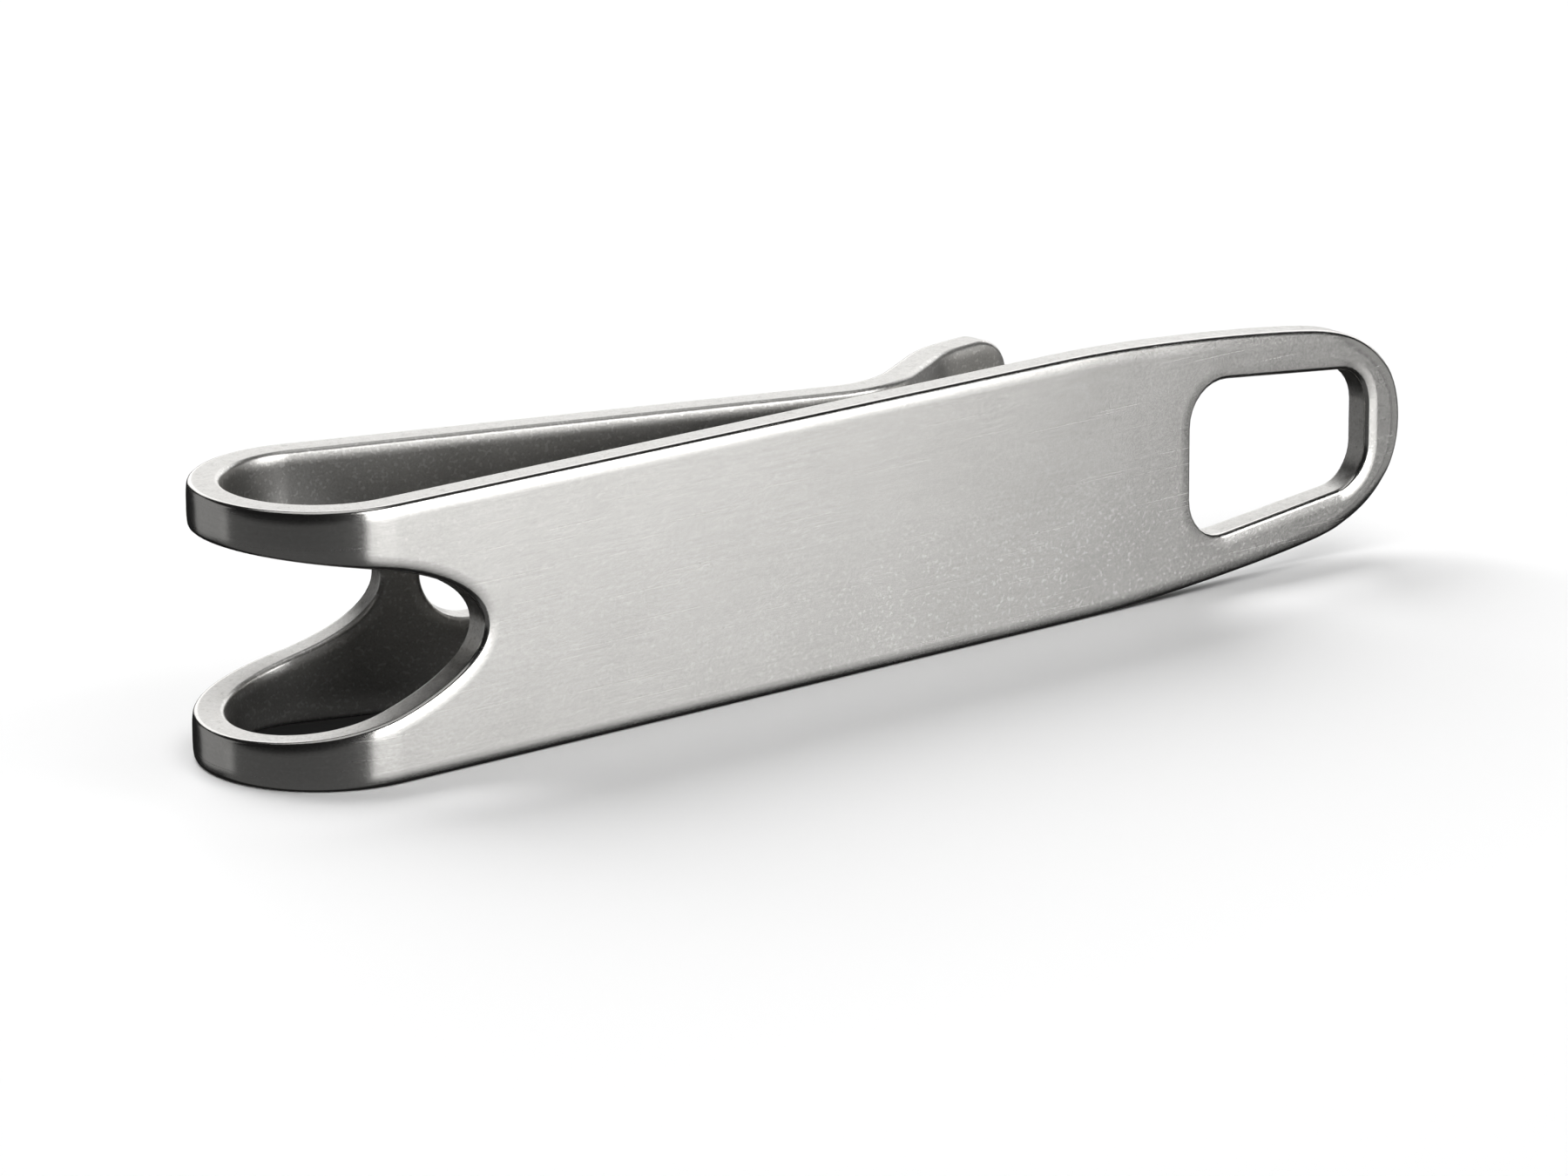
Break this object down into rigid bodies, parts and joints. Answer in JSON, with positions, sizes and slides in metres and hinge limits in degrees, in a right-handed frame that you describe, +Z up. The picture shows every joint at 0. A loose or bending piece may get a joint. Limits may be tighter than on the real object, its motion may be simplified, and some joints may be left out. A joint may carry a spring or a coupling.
{
  "type": "money clip",
  "caption": "Folded sprung steel money and pocket clip: flat front plate with an eye, slotted fold and a spring arm with a round hole and a flared lip.",
  "frame": {"origin": "centre of the bounding box, on the surface that the clip stands on with one long edge down", "axes": "+X along the clip, from the fold to the eye; +Y from the front plate's outer face towards the spring arm; +Z up, across the strip's width"},
  "size_m": [0.051, 0.0093, 0.01],
  "materials": {
    "satin_steel": "satin, lightly blasted and tumbled"
  },
  "bodies": {
    "front": {"front_plate": "satin_steel"},
    "fold": {"upper_fold": "satin_steel", "lower_fold": "satin_steel"},
    "arm": {"spring_arm": "satin_steel"}
  },
  "joints": [
    {"name": "fold_flex", "type": "hinge", "parent": "front", "child": "fold", "pos_m": [-0.02358, -0.00232, 0.005], "axis": [0, 0, 1], "range_deg": [0, 3], "stiffness_Nm_per_rad": 1},
    {"name": "arm_flex", "type": "hinge", "parent": "fold", "child": "arm", "pos_m": [-0.02276, 0.00303, 0.005], "axis": [0, 0, 1], "range_deg": [0, 3], "stiffness_Nm_per_rad": 1}
  ],
  "couplings": [
    {"joint": "arm_flex", "follows": "fold_flex", "ratio": 1}
  ]
}
